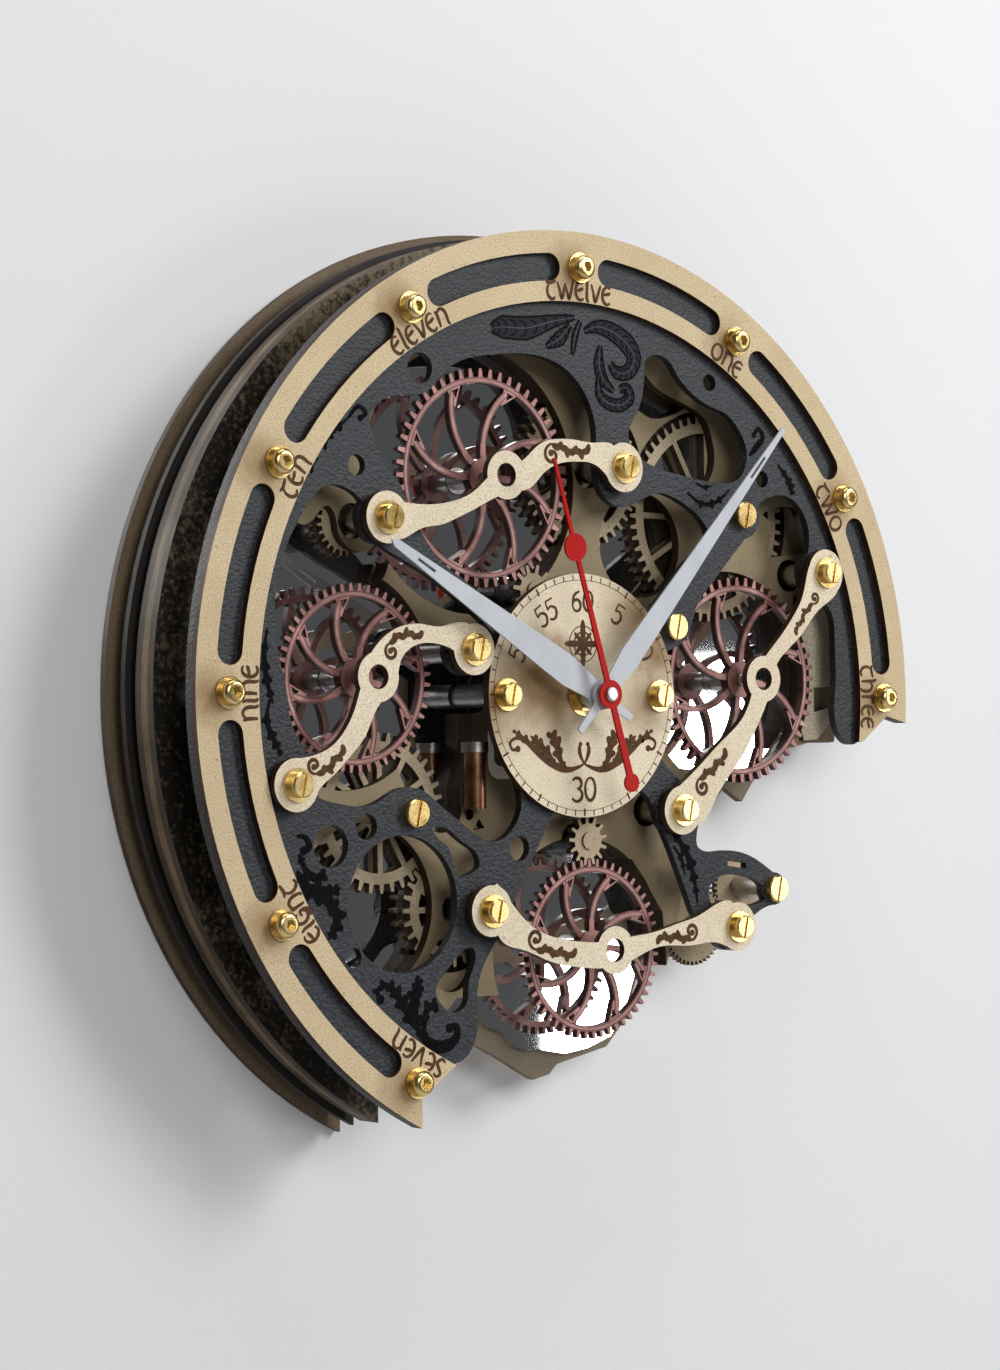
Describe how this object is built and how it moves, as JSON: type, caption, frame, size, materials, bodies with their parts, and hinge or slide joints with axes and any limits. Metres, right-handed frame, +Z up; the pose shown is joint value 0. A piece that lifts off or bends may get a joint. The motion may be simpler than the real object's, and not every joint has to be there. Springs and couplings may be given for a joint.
{
  "type": "wall clock",
  "caption": "Round skeleton wall clock with layered wooden boards, turning gear wheels, bridges and three hands.",
  "frame": {"origin": "on the axis of the hands, in the plane of the wall", "axes": "+Z up, +X to the right seen from the front, -Y out of the wall towards the viewer"},
  "size_m": [0.38, 0.0741, 0.3609],
  "materials": {
    "board": "satin",
    "dark_board": "matte",
    "gear_wood": "matte",
    "slate": "textured matte",
    "rose": "satin metallic",
    "brass": "polished",
    "steel": "polished",
    "copper": "satin",
    "mirror": "mirror",
    "black_plastic": "matte",
    "battery": "gloss",
    "hand_white": "satin",
    "hand_red": "satin"
  },
  "bodies": {
    "clock_frame": {"wall_ring": "board", "shadow_ring": "dark_board", "rear_spacers": "dark_board", "rim_rear": "board", "base_board": "board", "rim_front": "board", "mirror_plate": "mirror", "mid_rear": "board", "mid_front": "board", "ring_sleeves": "steel", "post_sleeves": "steel", "gear_posts": "steel", "hanging_posts": "steel", "gear_sleeves": "steel", "wheel_axles": "steel", "gear_motors": "steel", "front_plate": "slate", "backing_board": "board", "hour_ring": "board", "ring_washers": "brass", "ring_screws": "brass", "dial": "board", "dial_washers": "brass", "dial_screws": "brass", "bridge_upper_left": "board", "bridge_left": "board", "bridge_right": "board", "bridge_bottom": "board", "bridge_spacers": "brass", "bridge_washers": "brass", "bridge_screws": "brass", "plate_screws": "brass", "movement": "black_plastic", "battery": "battery", "movement_bush": "brass", "bush_nut": "brass", "side_motor": "copper", "side_collar": "steel"},
    "hour": {"hour_hand": "hand_white"},
    "minute": {"minute_hand": "hand_white"},
    "second": {"second_hand": "hand_red", "second_cap": "steel"},
    "wheel_upper_left": {"wheel_upper_left": "rose"},
    "pinion_upper_left": {"pinion_upper_left": "gear_wood"},
    "wheel_left": {"wheel_left": "rose"},
    "pinion_left": {"pinion_left": "gear_wood"},
    "wheel_right": {"wheel_right": "rose"},
    "pinion_right": {"pinion_right": "gear_wood"},
    "wheel_bottom": {"wheel_bottom": "rose"},
    "pinion_bottom": {"pinion_bottom": "gear_wood"},
    "gear_upper_left": {"gear_upper_left": "gear_wood"},
    "gear_upper": {"gear_upper": "gear_wood"},
    "gear_upper_right": {"gear_upper_right": "gear_wood"},
    "gear_lower_left": {"gear_lower_left": "gear_wood"},
    "gear_left": {"gear_left": "gear_wood"},
    "gear_lower_right": {"gear_lower_right": "gear_wood"},
    "gear_hook": {"gear_hook": "gear_wood"}
  },
  "joints": [
    {"name": "minute_spin", "type": "hinge", "parent": "clock_frame", "child": "minute", "pos_m": [0, -0.0684, 0], "axis": [0, 1, 0], "continuous": true},
    {"name": "hour_spin", "type": "hinge", "parent": "clock_frame", "child": "hour", "pos_m": [0, -0.0655, 0], "axis": [0, 1, 0], "continuous": true},
    {"name": "second_spin", "type": "hinge", "parent": "clock_frame", "child": "second", "pos_m": [0, -0.0718, 0], "axis": [0, 1, 0], "continuous": true},
    {"name": "wheel_upper_left_spin", "type": "hinge", "parent": "clock_frame", "child": "wheel_upper_left", "pos_m": [-0.04052, -0.041, 0.08565], "axis": [0, 1, 0], "continuous": true},
    {"name": "pinion_upper_left_spin", "type": "hinge", "parent": "clock_frame", "child": "pinion_upper_left", "pos_m": [-0.01532, -0.041, 0.04201], "axis": [0, 1, 0], "continuous": true},
    {"name": "wheel_left_spin", "type": "hinge", "parent": "clock_frame", "child": "wheel_left", "pos_m": [-0.10397, -0.041, 0.00629], "axis": [0, 1, 0], "continuous": true},
    {"name": "pinion_left_spin", "type": "hinge", "parent": "clock_frame", "child": "pinion_left", "pos_m": [-0.14752, -0.041, 0.00629], "axis": [0, 1, 0], "continuous": true},
    {"name": "wheel_right_spin", "type": "hinge", "parent": "clock_frame", "child": "wheel_right", "pos_m": [0.09713, -0.041, 0.0074], "axis": [0, 1, 0], "continuous": true},
    {"name": "pinion_right_spin", "type": "hinge", "parent": "clock_frame", "child": "pinion_right", "pos_m": [0.0513, -0.041, 0.02838], "axis": [0, 1, 0], "continuous": true},
    {"name": "wheel_bottom_spin", "type": "hinge", "parent": "clock_frame", "child": "wheel_bottom", "pos_m": [0.01332, -0.041, -0.10175], "axis": [0, 1, 0], "continuous": true},
    {"name": "pinion_bottom_spin", "type": "hinge", "parent": "clock_frame", "child": "pinion_bottom", "pos_m": [0.01203, -0.041, -0.05822], "axis": [0, 1, 0], "continuous": true},
    {"name": "gear_upper_left_spin", "type": "hinge", "parent": "clock_frame", "child": "gear_upper_left", "pos_m": [-0.09897, -0.0284, 0.06678], "axis": [0, 1, 0], "continuous": true},
    {"name": "gear_upper_spin", "type": "hinge", "parent": "clock_frame", "child": "gear_upper", "pos_m": [0.02072, -0.0284, 0.09176], "axis": [0, 1, 0], "continuous": true},
    {"name": "gear_upper_right_spin", "type": "hinge", "parent": "clock_frame", "child": "gear_upper_right", "pos_m": [0.09093, -0.0284, 0.07581], "axis": [0, 1, 0], "continuous": true},
    {"name": "gear_lower_left_spin", "type": "hinge", "parent": "clock_frame", "child": "gear_lower_left", "pos_m": [-0.04995, -0.0284, -0.08381], "axis": [0, 1, 0], "continuous": true},
    {"name": "gear_left_spin", "type": "hinge", "parent": "clock_frame", "child": "gear_left", "pos_m": [-0.08367, -0.0284, -0.04542], "axis": [0, 1, 0], "continuous": true},
    {"name": "gear_lower_right_spin", "type": "hinge", "parent": "clock_frame", "child": "gear_lower_right", "pos_m": [0.08066, -0.0284, -0.09491], "axis": [0, 1, 0], "continuous": true},
    {"name": "gear_hook_spin", "type": "hinge", "parent": "clock_frame", "child": "gear_hook", "pos_m": [0.10685, -0.0284, -0.08027], "axis": [0, 1, 0], "continuous": true}
  ],
  "couplings": [
    {"joint": "minute_spin", "follows": "second_spin", "ratio": 0.016667},
    {"joint": "hour_spin", "follows": "second_spin", "ratio": 0.0013889},
    {"joint": "pinion_upper_left_spin", "follows": "wheel_upper_left_spin", "ratio": -4.7273},
    {"joint": "pinion_left_spin", "follows": "wheel_left_spin", "ratio": -4},
    {"joint": "pinion_right_spin", "follows": "wheel_right_spin", "ratio": -4.7273},
    {"joint": "pinion_bottom_spin", "follows": "wheel_bottom_spin", "ratio": -4},
    {"joint": "gear_upper_spin", "follows": "gear_upper_right_spin", "ratio": -1.4},
    {"joint": "gear_lower_left_spin", "follows": "gear_left_spin", "ratio": -1.3846},
    {"joint": "gear_hook_spin", "follows": "gear_lower_right_spin", "ratio": -1.2222}
  ]
}
